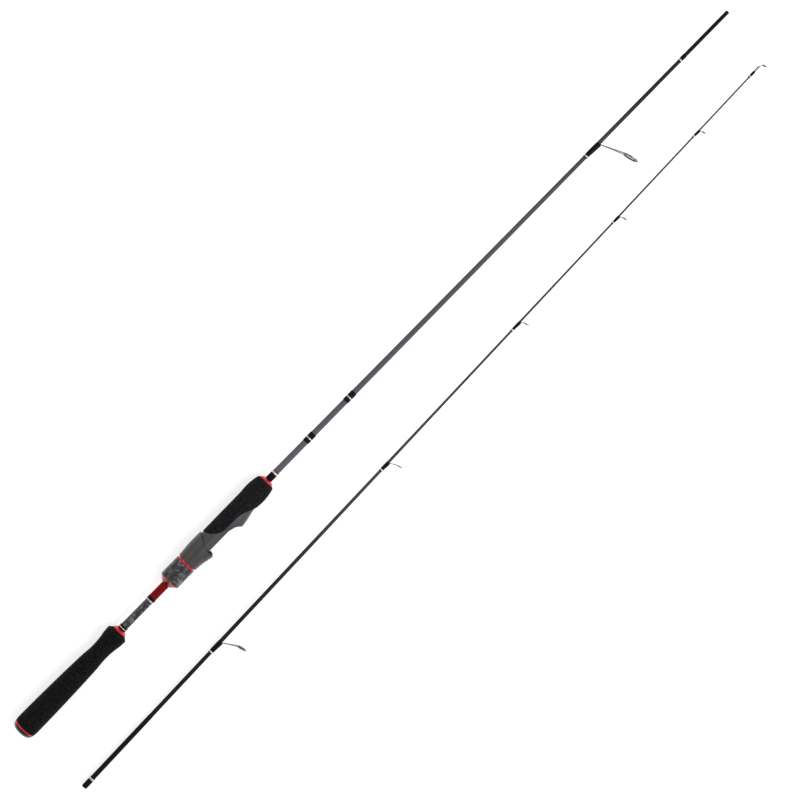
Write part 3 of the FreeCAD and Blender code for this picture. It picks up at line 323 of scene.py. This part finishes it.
cap_plastic = moulding("cap_plastic", (0.004, 0.004, 0.005), (0.012, 0.012, 0.013), 0.24, 0.004,
                       specular_ior_level=0.3, coat_weight=0.35, coat_roughness=0.08)
seat_resin = moulding("seat_resin", (0.040, 0.037, 0.043), (0.062, 0.058, 0.066), 0.5, 0.03)
hood_resin = moulding("hood_resin", (0.036, 0.036, 0.039), (0.052, 0.052, 0.055), 0.44, 0.02)
hood_liner = moulding("hood_liner", (0.003, 0.003, 0.003), (0.009, 0.009, 0.010), 0.62, 0.04)
arbor_foam = moulding("arbor_foam", (0.30, 0.28, 0.25), (0.42, 0.40, 0.36), 0.9, 0.2)
tell("mouldings:", cap_plastic, seat_resin, hood_resin, hood_liner, arbor_foam)

# %% [markdown]
# ## Patterns that follow the rod
#
# Turning marks, thread and fibres run along or round the rod. So their patterns are laid out in
# a section's coordinates, and not in the frame's: dot products with the section's directions,
# and an arctangent, turn a point's place into a distance along and an angle.

# %% Along and about a section
def about(finish, section):
    """Millimetres along a section, and the angle about its axis."""
    offset = finish.node("ShaderNodeVectorMath", {"operation": "SUBTRACT"},
                         {0: place_in(finish), 1: tuple(section.rear / MM)})

    def part(way):
        return finish.node("ShaderNodeVectorMath", {"operation": "DOT_PRODUCT"},
                           {0: offset, 1: tuple(way)}, output="Value")
    return part(section.along), part(UP).maths("ARCTAN2", part(section.side))


def joined(x, y, z=0.0):
    """A vector from three values."""
    return x.finish.node("ShaderNodeCombineXYZ", None, {0: x, 1: y, 2: z})


print("patterns can follow the axes of the butt section and the tip section")

# %% [markdown]
# ## Metals and ceramic
#
# The red rings are anodised aluminium, and turning leaves fine rings round them, so their noise
# is squeezed along the axis. The guides are bent from dark stainless wire, with faint marks from
# drawing it. The line runs over rings of polished ceramic, which are nearly black and glossy.

# %% Metals and ceramic
def anodised(name, section):
    """Red anodised aluminium, turned about a section's axis."""
    finish = Finish(name, metallic=0.55, coat_weight=0.25, coat_roughness=0.15)
    along, angle = about(finish, section)
    rings = noise(joined(along * 9.0, angle * 0.4), 1.0, detail=3.0)
    return finish.set(base_color=blend(rings, (0.50, 0.004, 0.010), (0.86, 0.016, 0.024)),
                      roughness=0.24 + rings * 0.16, normal=relief(rings, 0.02, 0.5))


def steel(name, tone, roughness):
    """Polished stainless wire or sheet, with faint drawing marks."""
    finish = Finish(name, metallic=1.0)
    marks = noise(place_in(finish), 3.0, detail=4.0, roughness=0.7)
    return finish.set(base_color=blend(marks, (tone * 0.75, tone * 0.75, tone * 0.75),
                                       (tone * 1.2, tone * 1.2, tone * 1.25)),
                      roughness=roughness + marks * 0.12, normal=relief(marks, 0.01, 0.4))


def ceramic(name):
    """Polished dark ceramic with the odd lighter speck."""
    finish = Finish(name, specular_ior_level=0.7, coat_weight=0.6, coat_roughness=0.04)
    speck = noise(place_in(finish), 4.0, detail=3.0)
    return finish.set(base_color=blend(speck, (0.012, 0.012, 0.014), (0.035, 0.035, 0.04)),
                      roughness=0.08 + speck * 0.1)


red_ring = anodised("red_ring", butt)
snap_steel = steel("snap_steel", 0.5, 0.3)
guide_steel = steel("guide_steel", 0.26, 0.16)
guide_ceramic = ceramic("guide_ceramic")
tell("metals and ceramic:", red_ring, snap_steel, guide_steel, guide_ceramic)

# %% [markdown]
# ## Chopped carbon
#
# The handle sleeve and the lock nut show a marbled carbon under a clear coat: short flakes of
# fibre lie at random, and each one catches the light by the way that its fibres run. That sheen
# is painted into the colour: a Voronoi pattern gives every flake its own painted sheen, and noise
# bends the flakes' edges so that they look pressed together. Fine lines along the flakes stand for
# the fibres.

# %% Chopped carbon
def chopped(name, section, radius, flake):
    """Flakes of about a flake's size, pressed on a skin of a radius. Both are in millimetres."""
    finish = Finish(name, specular_ior_level=0.3, coat_weight=0.2, coat_roughness=0.2)
    along, angle = about(finish, section)
    across = angle * radius
    pattern_slice = 4.7
    flat = joined(along / flake, across / flake, pattern_slice)
    bend = noise(flat, 1.1, output="Color")
    bent = finish.node("ShaderNodeVectorMath", {"operation": "MULTIPLY_ADD"},
                       {0: bend, 1: (1.5, 1.5, 0.0), 2: flat})
    flakes = cell_field(bent, 1.0, output="Color")
    tone = finish.node("ShaderNodeSeparateColor", None, {0: flakes}, output="Red")
    turn = finish.node("ShaderNodeSeparateColor", None, {0: flakes}, output="Green")
    fibres = ((along * turn + across * (1 - turn)) * 9.0).ripple()
    patch = noise(flat, 0.45)
    # Each flake's painted sheen: how much light it catches, painted into its colour.
    light = (tone * 1.6 - 0.7 + (patch - 0.5) * 1.6).clamped()
    return finish.set(base_color=blend((light * 0.85 + fibres * 0.08).clamped(),
                                       (0.016, 0.016, 0.019), (0.200, 0.200, 0.210)),
                      roughness=0.4 - light * 0.08,
                      normal=relief(light * 0.5 + fibres * 0.3, 0.02, 0.5))


nut_carbon = chopped("nut_carbon", butt, radius=12.0, flake=3.6)
sleeve_carbon = chopped("sleeve_carbon", butt, radius=4.4, flake=2.6)
tell("carbon:", nut_carbon, sleeve_carbon)

# %% [markdown]
# ## Thread under varnish
#
# Guides are tied on with fine thread, wound turn against turn, and flooded with clear epoxy that
# is left to level out on a turning frame. So there are two surfaces: the ribs of the thread, and
# the smooth coat over them. The shader's coat gives the second one, and a bump gives the first.
# The ribs also paint the colour: lighter on each turn's crest and darker in the grooves between
# turns, which is painted highlight and painted shade. The red tail is a coarser winding, and the
# trim bands are wound in bright metallic thread.

# %% Thread wraps and metallic bands
def wound(along, angle, pitch):
    """Ribs from 0 to 1 that wind round a section, a pitch (mm) further on after each turn."""
    return ((along + angle * (pitch / TURN)) * (TURN / pitch)).ripple()


def thread(name, section, dark, light, turn=0.28, roughness=0.38, depth=0.05, **constants):
    """Thread whose turns lie a turn (mm) apart, its ribs a depth (mm) tall."""
    finish = Finish(name, **constants)
    along, angle = about(finish, section)
    ribs = wound(along, angle, turn)
    uneven = noise(joined(along * 0.9, angle * 1.5), 1.0, detail=3.0)
    # Crests lighter and grooves darker: painted highlight and painted shade along the turns.
    return finish.set(base_color=blend((ribs * 0.7 + uneven * 0.5 - 0.1).clamped(), dark, light),
                      roughness=roughness + uneven * 0.1, normal=relief(ribs, depth, 0.6))


red_wrap = thread("red_wrap", butt, (0.08, 0.001, 0.001), (0.38, 0.003, 0.004), turn=0.5,
                  roughness=0.3, depth=0.08, specular_ior_level=0.05, coat_weight=0.05,
                  coat_roughness=0.12)
black_wrap = {}
metal_thread = {}
for word, section in (("butt", butt), ("tip", tip)):
    black_wrap[word] = thread(f"black_wrap_{word}", section, (0.001, 0.001, 0.0012),
                              (0.006, 0.006, 0.007), specular_ior_level=0.05, coat_weight=0.08,
                              coat_roughness=0.08)
    metal_thread[word] = thread(f"metal_thread_{word}", section, (0.50, 0.32, 0.34),
                                (0.95, 0.72, 0.74), turn=0.34, roughness=0.22, depth=0.06,
                                metallic=0.85, coat_weight=0.6, coat_roughness=0.08)
tell("thread:", red_wrap, *black_wrap.values(), *metal_thread.values())

# %% [markdown]
# ## Graphite blanks
#
# A blank is rolled from carbon cloth and bound with tape while it cures, and the tape leaves a
# faint spiral. This one is a satin grey that turns nearly black towards the ferrule: the
# paint is shaded by hand. The shading follows the distance along the section.

# %% Graphite blanks
def graphite(name, section, shades):
    """A blank with shades at distances (mm) from the section's rear end."""
    finish = Finish(name, specular_ior_level=0.08, coat_weight=0.06, coat_roughness=0.25)
    along, angle = about(finish, section)
    reach = max(shades)
    ramp = finish.node("ShaderNodeValToRGB",
                       {"stops": [(place / reach, colour) for place, colour in shades.items()]},
                       {0: along / reach})
    tape_pitch = 3.4
    spiral = wound(along, angle, tape_pitch)
    fibre = noise(joined(along * 0.35, angle * 6.0), 1.0, detail=4.0, roughness=0.6)
    shade = 0.82 + spiral * 0.12 + fibre * 0.28
    tinted = finish.node("ShaderNodeVectorMath", {"operation": "SCALE"}, {0: ramp, 3: shade})
    return finish.set(base_color=tinted, roughness=0.36 + fibre * 0.14,
                      normal=relief(spiral * 0.6 + fibre * 0.4, 0.015, 0.5))


handle_grey = (0.092, 0.089, 0.108)
dark_paint = (0.022, 0.022, 0.026)
tip_grey = (0.055, 0.054, 0.065)
butt_graphite = graphite("butt_graphite", butt, {
    0: handle_grey, 385: handle_grey, 400: (0.118, 0.115, 0.138), 560: (0.100, 0.097, 0.117),
    800: (0.096, 0.093, 0.112), 905: (0.056, 0.055, 0.066), 960: dark_paint, 1024: dark_paint,
    1030: (0.005, 0.005, 0.006)})
tip_graphite = graphite("tip_graphite", tip, {
    0: (0.004, 0.004, 0.005), 100: (0.005, 0.005, 0.006), 125: (0.009, 0.009, 0.011),
    290: (0.015, 0.015, 0.018), 350: (0.032, 0.032, 0.038), 430: tip_grey, 1070: tip_grey})
tell("blanks:", butt_graphite, tip_graphite)

# %% [markdown]
# ## Dressing the pieces that stay as they are
#
# The frame's rigid pieces already have the right shape, so each only takes one finish. The ones
# that differ are listed by name. The guides are all alike: a wire frame, a ceramic ring and a
# black wrap, so the end of a guide's name says which finish it takes.

# %% One finish for each rigid piece
GRIPS = ("rear_grip", "fore_grip")
DRESS = [
    (cap_plastic, ["butt_cap", "lock_nut_tail"]),
    (red_ring, ["butt_cap_ring", "rear_grip_check", "fore_grip_check", "lock_nut_front_ring",
                "lock_nut_end_ring"]),
    (sleeve_carbon, ["handle_sleeve"]),
    (nut_carbon, ["lock_nut_sleeve"]),
    (seat_resin, ["reel_seat_body", "lock_nut_core"]),
    (hood_resin, ["moving_hood"]),
    (hood_liner, ["fixed_hood_liner", "moving_hood_liner"]),
    (arbor_foam, ["seat_arbors"]),
    (snap_steel, ["hood_snap_ring"]),
    (butt_graphite, ["butt_blank"]),
    (tip_graphite, ["tip_blank"]),
    (red_wrap, ["seat_tail_wrap"]),
    (metal_thread["butt"], ["butt_trim_bands"]),
    (metal_thread["tip"], ["tip_trim_bands"]),
    (black_wrap["butt"], ["rear_collar", "front_collar", "fore_grip_wrap", "lower_trim_wrap",
                          "upper_trim_wrap", "stripper_guide_wrap", "ferrule_wrap"]),
    (black_wrap["tip"], ["ferrule_socket_wrap"]),
]
named = {node: finish for finish, nodes in DRESS for node in nodes}
by_ending = {"ring": guide_ceramic, "frame": guide_steel, "wrap": black_wrap["tip"]}


def dress(piece, finish):
    """Give a piece one finish all over."""
    piece.data.materials.clear()
    piece.data.materials.append(finish.material)


for name, node in frame["nodes"].items():
    if name not in GRIPS:
        dress(node, named[name] if name in named else by_ending[name.split("_")[-1]])
print("dressed", len(frame["nodes"]) - len(GRIPS), "nodes,", len(named), "of them by name")

# %% [markdown]
# ## Putting a new piece in the place of an old one
#
# A soft piece is built again as its own mesh. It rides on the same body as the node it stands
# for, takes its finish, and hides the plain solid.

# %% Stand in for a node
body_of = {node: body for body, members in frame["record"]["behaviour"]["bodies"].items()
           for node in members}


def put(name, data):
    """A new object in the scene, from a mesh, a lamp or a camera."""
    made = bpy.data.objects.new(name, data)
    bpy.context.scene.collection.objects.link(made)
    return made


def stand_in(piece, node, finish):
    """Let a piece replace a node: its body, its slot and its finish."""
    dress(piece, finish)
    for face in piece.data.polygons:
        face.use_smooth = True
    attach(piece, body_of[node])
    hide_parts(node)
    print(node, "stands as", piece.name, len(piece.data.polygons), "faces")


# %% [markdown]
# ## The outline of a turned piece
#
# The rear grip was turned on a lathe, so one outline describes it. The node's own points give
# it: the largest radius at each distance along the section. Between them it is filled in
# straight, and a smallest radius leaves out the points of the bore.

# %% Measure the rear grip
def span_of(section, node):
    """Where a node starts and ends along its section, in millimetres."""
    along = [section.read(vertex.co)[0] for vertex in frame["nodes"][node].data.vertices]
    return min(along), max(along)


def outline_of(section, node, thinnest):
    """A node's outer radius as a function of the distance along its section."""
    found = {}
    for vertex in frame["nodes"][node].data.vertices:
        along, radius = section.read(vertex.co)
        if radius > thinnest:
            key = round(along, 2)
            found[key] = max(found.get(key, 0.0), radius)
    along, radius = zip(*sorted(found.items()))
    return lambda at: float(np.interp(at, along, radius))


grip_start, grip_end = span_of(butt, "rear_grip")
sleeve_start = span_of(butt, "handle_sleeve")[0]
grip_outline = outline_of(butt, "rear_grip", thinnest=7.0)
print("rear grip", round(grip_end - grip_start, 1), "mm long, radius at its middle",
      round(grip_outline((grip_start + grip_end) / 2), 2))

# %% [markdown]
# ## The rear grip
#
# Foam has no sharp edges, and its skin is slightly uneven from sanding. So the new piece is a
# closed tube of closely spaced rings, with a shallow, seeded ripple on the outside. Inside, the
# bore widens where the handle sleeve runs into it.

# %% Rear grip
RIPPLES = 6
rng = np.random.default_rng(7)
ripple_phase = rng.uniform(0, TURN, RIPPLES)
ripple_turns = rng.integers(1, 5, RIPPLES)
ripple_length = rng.uniform(9, 34, RIPPLES)
# Radii and gaps in millimetres, then how finely the skin is divided.
bore_on_blank, bore_on_sleeve = 3.9, 4.45
sanding_depth, sleeve_room, end_room = 0.02, 0.3, 0.02
ring_count, ring_points = 290, 96


def outside(along, angle):
    """The grip's radius (mm): its outline, less a little where it was sanded."""
    waves = sum(math.sin(angle * turns + TURN * along / length + phase)
                for turns, length, phase in zip(ripple_turns, ripple_length, ripple_phase))
    return grip_outline(along) - sanding_depth * (1 + waves / RIPPLES)


def inside(along, angle):
    """The bore's radius (mm), which is the same at every angle."""
    return bore_on_sleeve if along > sleeve_start - sleeve_room else bore_on_blank


def closed_tube(name, section, stations):
    """Rings of points that run along the outside and back along the bore, faces outward."""
    angles = [TURN * step / ring_points for step in range(ring_points)]
    route = [(along, outside) for along in stations]
    route += [(along, inside) for along in reversed(stations)]
    points = [section.place(along, radius(along, angle), angle)
              for along, radius in route for angle in angles]
    faces = []
    for ring in range(len(route)):
        here, following = ring * ring_points, (ring + 1) % len(route) * ring_points
        for step in range(ring_points):
            after = (step + 1) % ring_points
            faces.append((here + step, here + after, following + after, following + step))
    mesh = bpy.data.meshes.new(name)
    mesh.from_pydata([tuple(point) for point in points], [], faces)
    work = bmesh.new()
    work.from_mesh(mesh)
    bmesh.ops.recalc_face_normals(work, faces=work.faces)
    work.to_mesh(mesh)
    work.free()
    return put(name, mesh)


rear_grip = closed_tube("rear_grip_foam", butt, list(
    np.linspace(grip_start + end_room, grip_end - end_room, ring_count)))
stand_in(rear_grip, "rear_grip", rear_foam)

# %% [markdown]
# ## The fore grip
#
# The fore grip isn't round: its front edge is swept, where the seat comes out of it on the reel
# side. Carving that by hand again would only lose accuracy. A copy of the node is remeshed into
# small even faces and relaxed a little, which rounds the cut edges as sanding does.

# %% Fore grip
def softened(name, node, grain, passes):
    """A copy of a node with even faces of about a grain (mm), its edges rounded."""
    piece = put(name, frame["nodes"][node].data.copy())
    remesh = piece.modifiers.new("even", "REMESH")
    remesh.mode = "VOXEL"
    remesh.voxel_size = grain * MM
    relax = piece.modifiers.new("relax", "SMOOTH")
    relax.factor = 0.5
    relax.iterations = passes
    graph = bpy.context.evaluated_depsgraph_get()
    made = bpy.data.meshes.new_from_object(piece.evaluated_get(graph))
    piece.modifiers.clear()
    piece.data = made
    return piece


fore_grip = softened("fore_grip_foam", "fore_grip", grain=0.5, passes=4)
stand_in(fore_grip, "fore_grip", fore_foam)

# %% [markdown]
# ## The table
#
# The rod lies on a white table, just below its lowest point. The table is only there to show
# the rod. A faint glow of its own keeps it white in the shadows without lamps so strong that
# they would bleach the rod.

# %% Table
low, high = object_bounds()
middle = (low + high) / 2
table_reach, table_drop = 25.0, 0.0003
corners = [(-1, -1), (1, -1), (1, 1), (-1, 1)]
table_mesh = bpy.data.meshes.new("table")
table_mesh.from_pydata([(x * table_reach, y * table_reach, -table_drop) for x, y in corners],
                       [], [(0, 1, 2, 3)])
table = put("table", table_mesh)
white = Finish("table_white", roughness=0.9, specular_ior_level=0.1,
               emission_color=(1.0, 1.0, 1.0), emission_strength=0.50)
speckle = noise(place_in(white), 0.02)
white.set(base_color=blend(speckle, (0.90, 0.90, 0.90), (0.92, 0.92, 0.92)))
dress(table, white)
tell("table:", white)

# %% [markdown]
# ## The camera
#
# The rod is seen from straight above, through a long lens that keeps its two sections nearly
# free of perspective. The camera is turned so that the rod runs up and to the right, at just
# over 45 degrees, and is a few millimetres off the middle, which frames both sections.

# %% Camera
camera_height, camera_turn = 2.365, -45.525
camera_data = bpy.data.cameras.new("camera")
camera_data.lens = 98.0
camera_data.sensor_width = 36.0
camera = put("camera", camera_data)
camera.location = (middle.x - 2.3 * MM, middle.y + 8.8 * MM, camera_height)
camera.rotation_euler = (0, 0, math.radians(camera_turn))
bpy.context.scene.camera = camera
print("camera at", [round(value, 3) for value in camera.location])

# %% [markdown]
# ## The light
#
# Two large softboxes stand on opposite sides of the rod, one brighter than the other, and a
# pale room fills the shadows. The standard view transform shows the colours as they are, so
# that white stays white.

# %% Lamps and room
def softbox(name, place, size, power):
    """A square lamp that looks at the middle of the rod."""
    lamp_data = bpy.data.lights.new(name, "AREA")
    lamp_data.shape = "SQUARE"
    lamp_data.size = size
    lamp_data.energy = power
    lamp = put(name, lamp_data)
    lamp.location = place
    lamp.rotation_euler = (middle - Vector(place)).to_track_quat("-Z", "Y").to_euler()
    print(name, "softbox,", power, "W")


softbox("key", (0.5, -1.7, 2.2), size=1.6, power=36)
softbox("fill", (-0.6, 1.8, 2.4), size=2.2, power=15)
world = bpy.data.worlds.new("room")
world.use_nodes = True
background = world.node_tree.nodes["Background"]
background.inputs["Color"].default_value = (1, 1, 1, 1)
background.inputs["Strength"].default_value = 0.45
bpy.context.scene.world = world
bpy.context.scene.view_settings.view_transform = "Standard"

# %% [markdown]
